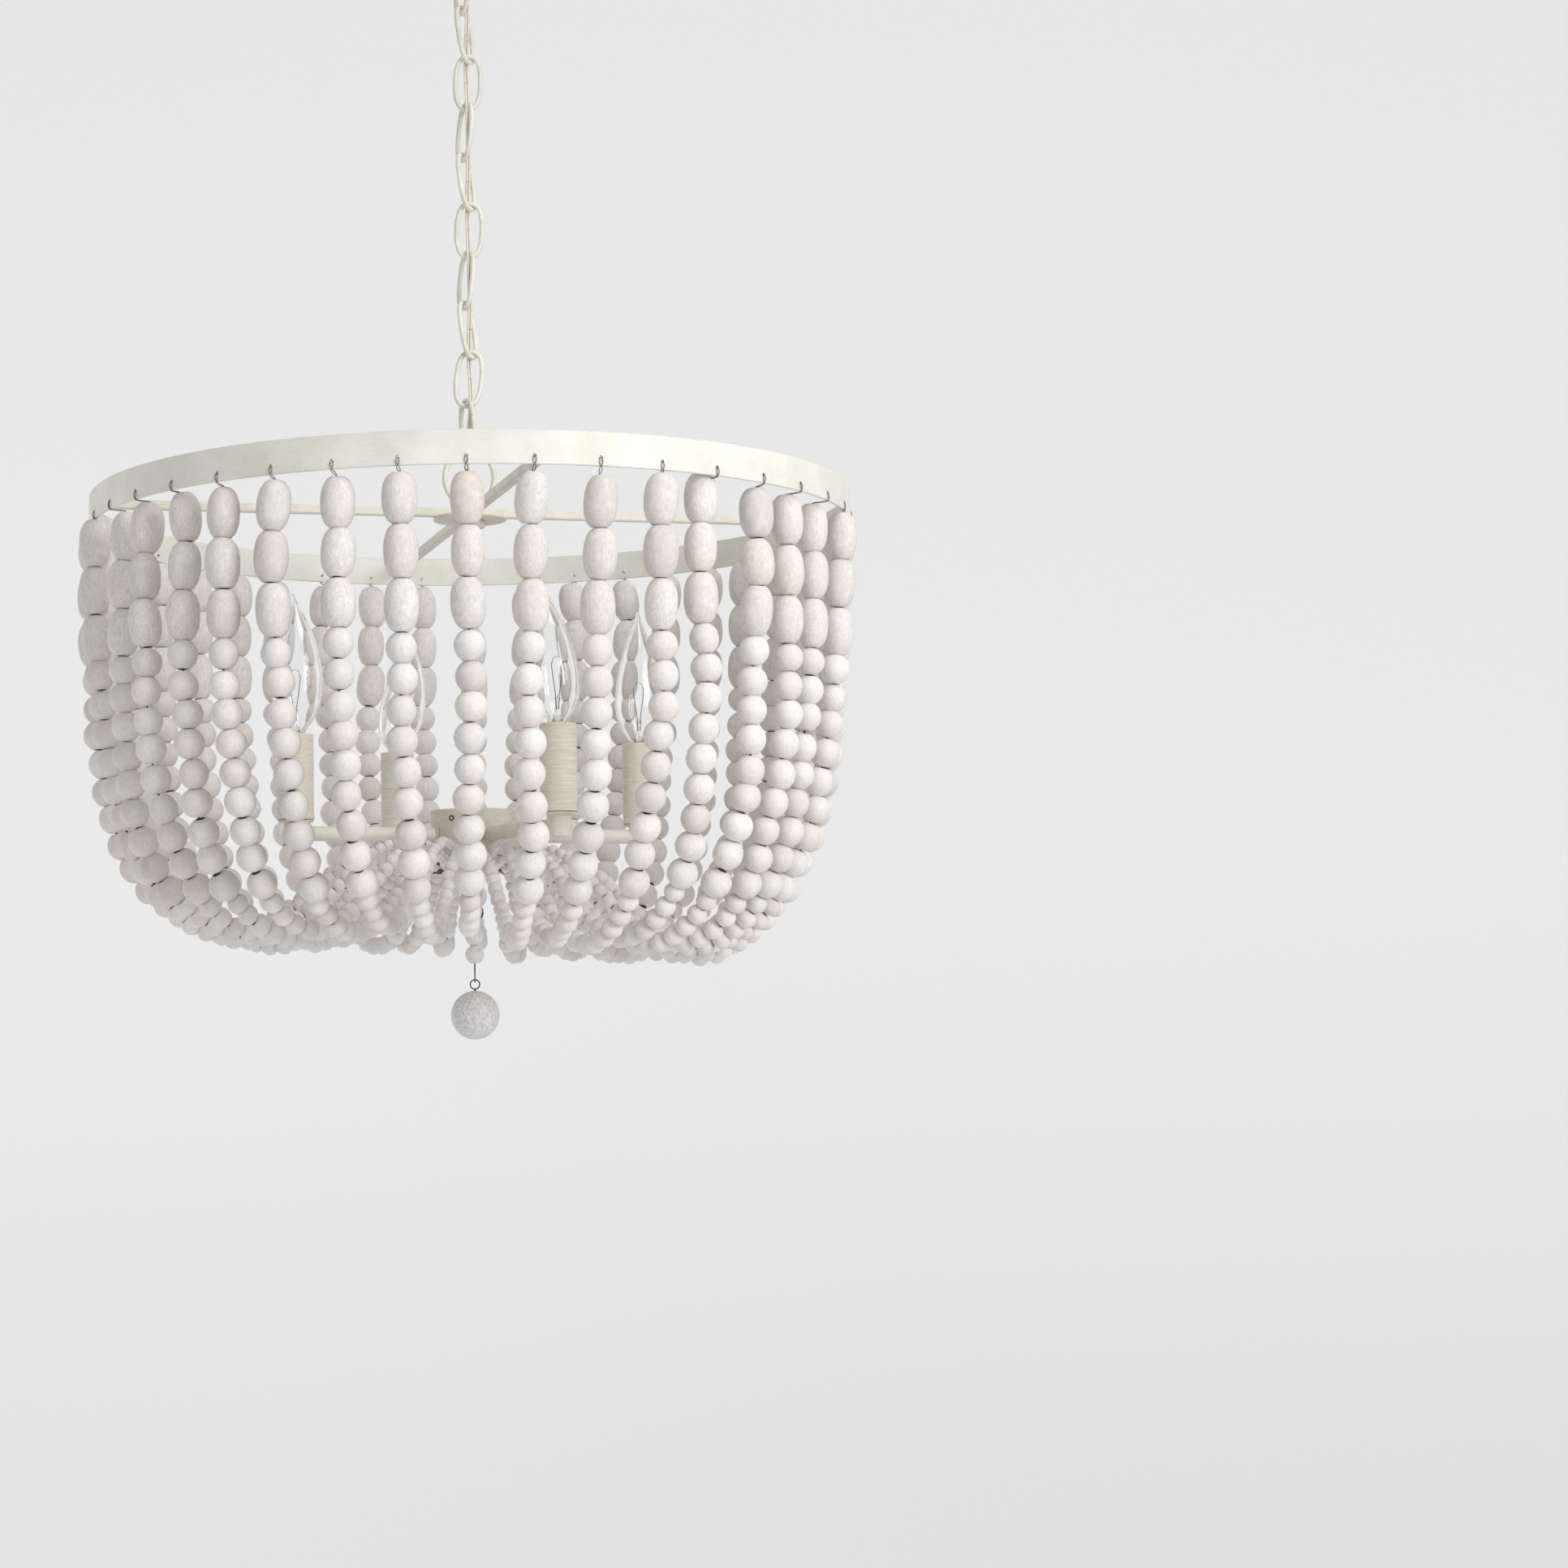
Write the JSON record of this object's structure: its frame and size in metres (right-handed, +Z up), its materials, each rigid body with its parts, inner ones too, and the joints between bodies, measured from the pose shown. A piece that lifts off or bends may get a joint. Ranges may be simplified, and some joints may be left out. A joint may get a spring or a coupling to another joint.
{
  "type": "beaded chandelier",
  "caption": "Hanging basket chandelier: strands of wooden beads swag from a ring band to a hub with candle lights, on a link chain with a ceiling canopy.",
  "frame": {"origin": "middle of the ceiling strap's top face, on the ceiling plane", "axes": "+Z up into the ceiling, +X along the ceiling strap, -Y towards the viewer of the picture"},
  "size_m": [0.4847, 0.4846, 0.7531],
  "materials": {
    "painted_steel": "distressed cream paint",
    "bead_wood": "whitewashed",
    "sleeve_card": "brushed cream paint",
    "clear_glass": "clear",
    "cord_jacket": "satin",
    "socket_shell": "matt"
  },
  "bodies": {
    "ceiling_fitting": {"ceiling_strap": "painted_steel", "canopy": "painted_steel", "canopy_loop": "painted_steel", "lamp_cord": "cord_jacket"},
    "canopy_collar": {"canopy_collar": "painted_steel"},
    "chain_link_01": {"chain_link_01": "painted_steel"},
    "chain_link_02": {"chain_link_02": "painted_steel"},
    "chain_link_03": {"chain_link_03": "painted_steel"},
    "chain_link_04": {"chain_link_04": "painted_steel"},
    "chain_link_05": {"chain_link_05": "painted_steel"},
    "chain_link_06": {"chain_link_06": "painted_steel"},
    "chain_link_07": {"chain_link_07": "painted_steel"},
    "chain_link_08": {"chain_link_08": "painted_steel"},
    "chain_link_09": {"chain_link_09": "painted_steel"},
    "chain_link_10": {"chain_link_10": "painted_steel"},
    "fixture": {"frame_loop": "painted_steel", "crossed_bars": "painted_steel", "ring_band": "painted_steel", "stem_coupling": "painted_steel", "stem": "painted_steel", "hub": "painted_steel", "arm_01": "painted_steel", "arm_02": "painted_steel", "arm_03": "painted_steel", "arm_04": "painted_steel", "socket_01": "socket_shell", "socket_02": "socket_shell", "socket_03": "socket_shell", "socket_04": "socket_shell", "candle_sleeve_01": "sleeve_card", "candle_sleeve_02": "sleeve_card", "candle_sleeve_03": "sleeve_card", "candle_sleeve_04": "sleeve_card", "strand_collector": "painted_steel", "bead_strands_01": "bead_wood", "bead_strands_02": "bead_wood", "bead_strands_03": "bead_wood", "bead_strands_04": "bead_wood", "bead_strands_05": "bead_wood", "bead_strands_06": "bead_wood", "bead_strands_07": "bead_wood", "bead_strands_08": "bead_wood", "bead_strands_09": "bead_wood", "bead_strands_10": "bead_wood", "bead_strands_11": "bead_wood", "bead_strands_12": "bead_wood", "bead_strands_13": "bead_wood", "bead_strands_14": "bead_wood", "bead_strands_15": "bead_wood", "bead_strands_16": "bead_wood", "bead_strands_17": "bead_wood", "bead_strands_18": "bead_wood", "bead_strands_19": "bead_wood", "bead_strands_20": "bead_wood"},
    "bulb_01": {"bulb_01": "clear_glass"},
    "bulb_02": {"bulb_02": "clear_glass"},
    "bulb_03": {"bulb_03": "clear_glass"},
    "bulb_04": {"bulb_04": "clear_glass"},
    "finial_drop": {"finial_drop": "bead_wood"},
    "finial_ball": {"finial_ball": "bead_wood"}
  },
  "joints": [
    {"name": "collar_turn", "type": "hinge", "parent": "ceiling_fitting", "child": "canopy_collar", "pos_m": [0, 0, -0.032], "axis": [0, 0, 1], "range_deg": [0, 720]},
    {"name": "chain_hinge_01", "type": "hinge", "parent": "ceiling_fitting", "child": "chain_link_01", "pos_m": [0, 0, -0.073], "axis": [1, 0, 0], "range_deg": [-30, 30], "deforming": ["lamp_cord"]},
    {"name": "chain_hinge_02", "type": "hinge", "parent": "chain_link_01", "child": "chain_link_02", "pos_m": [0, 0, -0.1045], "axis": [0.5, -0.866, 0], "range_deg": [-30, 30]},
    {"name": "chain_hinge_03", "type": "hinge", "parent": "chain_link_02", "child": "chain_link_03", "pos_m": [0, 0, -0.1361], "axis": [-0.5, -0.866, 0], "range_deg": [-30, 30]},
    {"name": "chain_hinge_04", "type": "hinge", "parent": "chain_link_03", "child": "chain_link_04", "pos_m": [0, 0, -0.1677], "axis": [-1, 0, 0], "range_deg": [-30, 30]},
    {"name": "chain_hinge_05", "type": "hinge", "parent": "chain_link_04", "child": "chain_link_05", "pos_m": [0, 0, -0.1993], "axis": [-0.5, 0.866, 0], "range_deg": [-30, 30]},
    {"name": "chain_hinge_06", "type": "hinge", "parent": "chain_link_05", "child": "chain_link_06", "pos_m": [0, 0, -0.2309], "axis": [0.5, 0.866, 0], "range_deg": [-30, 30]},
    {"name": "chain_hinge_07", "type": "hinge", "parent": "chain_link_06", "child": "chain_link_07", "pos_m": [0, 0, -0.2625], "axis": [1, 0, 0], "range_deg": [-30, 30]},
    {"name": "chain_hinge_08", "type": "hinge", "parent": "chain_link_07", "child": "chain_link_08", "pos_m": [0, 0, -0.2941], "axis": [0.5, -0.866, 0], "range_deg": [-30, 30]},
    {"name": "chain_hinge_09", "type": "hinge", "parent": "chain_link_08", "child": "chain_link_09", "pos_m": [0, 0, -0.3257], "axis": [-0.5, -0.866, 0], "range_deg": [-30, 30]},
    {"name": "chain_hinge_10", "type": "hinge", "parent": "chain_link_09", "child": "chain_link_10", "pos_m": [0, 0, -0.3573], "axis": [-1, 0, 0], "range_deg": [-30, 30]},
    {"name": "chain_hinge_11", "type": "hinge", "parent": "chain_link_10", "child": "fixture", "pos_m": [0, 0, -0.3889], "axis": [-0.5, 0.866, 0], "range_deg": [-30, 30]},
    {"name": "bulb_turn_01", "type": "hinge", "parent": "fixture", "child": "bulb_01", "pos_m": [0.10694, 0.04987, -0.56695], "axis": [0, 0, 1], "range_deg": [0, 990]},
    {"name": "bulb_turn_02", "type": "hinge", "parent": "fixture", "child": "bulb_02", "pos_m": [-0.04987, 0.10694, -0.56695], "axis": [0, 0, 1], "range_deg": [0, 990]},
    {"name": "bulb_turn_03", "type": "hinge", "parent": "fixture", "child": "bulb_03", "pos_m": [-0.10694, -0.04987, -0.56695], "axis": [0, 0, 1], "range_deg": [0, 990]},
    {"name": "bulb_turn_04", "type": "hinge", "parent": "fixture", "child": "bulb_04", "pos_m": [0.04987, -0.10694, -0.56695], "axis": [0, 0, 1], "range_deg": [0, 990]},
    {"name": "finial_swing", "type": "hinge", "parent": "fixture", "child": "finial_drop", "pos_m": [0, 0, -0.67195], "axis": [0, 1, 0], "range_deg": [-30, 30]},
    {"name": "ball_swing", "type": "hinge", "parent": "finial_drop", "child": "finial_ball", "pos_m": [0, 0, -0.71825], "axis": [1, 0, 0], "range_deg": [-35, 35]}
  ]
}
